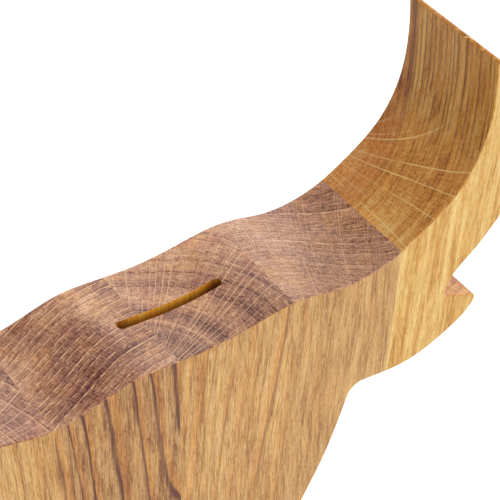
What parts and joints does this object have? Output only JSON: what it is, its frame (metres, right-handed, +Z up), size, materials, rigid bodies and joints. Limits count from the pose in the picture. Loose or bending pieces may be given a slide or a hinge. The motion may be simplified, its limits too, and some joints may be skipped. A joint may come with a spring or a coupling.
{
  "type": "money box",
  "caption": "Flat solid-oak money box in the shape of a rhinoceros, a coin slot in its back and a hinged door behind.",
  "frame": {"origin": "under the middle of the box, on the surface it stands on, at half the thickness of the panel", "axes": "+X along the animal towards the horn, +Y from the plain front to the door side, +Z up"},
  "size_m": [0.2566, 0.0424, 0.2043],
  "materials": {
    "oak_rump": "oiled",
    "oak_haunch": "oiled",
    "oak_loin": "oiled",
    "oak_shoulder": "oiled",
    "oak_neck": "oiled",
    "oak_head": "oiled",
    "oak_door": "oiled",
    "hinge_brass": "satin",
    "screw_brass": "satin",
    "magnet_nickel": "satin",
    "plate_steel": "satin",
    "felt": "felt"
  },
  "bodies": {
    "money_box_body": {"rump_stave": "oak_rump", "haunch_stave": "oak_haunch", "loin_stave": "oak_loin", "shoulder_stave": "oak_shoulder", "neck_stave": "oak_neck", "head_stave": "oak_head", "upper_hinge_body_leaf": "hinge_brass", "upper_hinge_pin": "hinge_brass", "lower_hinge_body_leaf": "hinge_brass", "lower_hinge_pin": "hinge_brass", "body_leaf_screws": "screw_brass", "catch_magnet": "magnet_nickel", "felt_pads": "felt"},
    "door": {"back_door": "oak_door", "upper_hinge_door_leaf": "hinge_brass", "lower_hinge_door_leaf": "hinge_brass", "door_leaf_screws": "screw_brass", "catch_plate": "plate_steel", "catch_plate_screw": "plate_steel"}
  },
  "joints": [
    {"name": "door_hinge", "type": "hinge", "parent": "money_box_body", "child": "door", "pos_m": [-0.0684, 0.0207, 0.101], "axis": [0, 0, 1], "range_deg": [0, 180]}
  ]
}
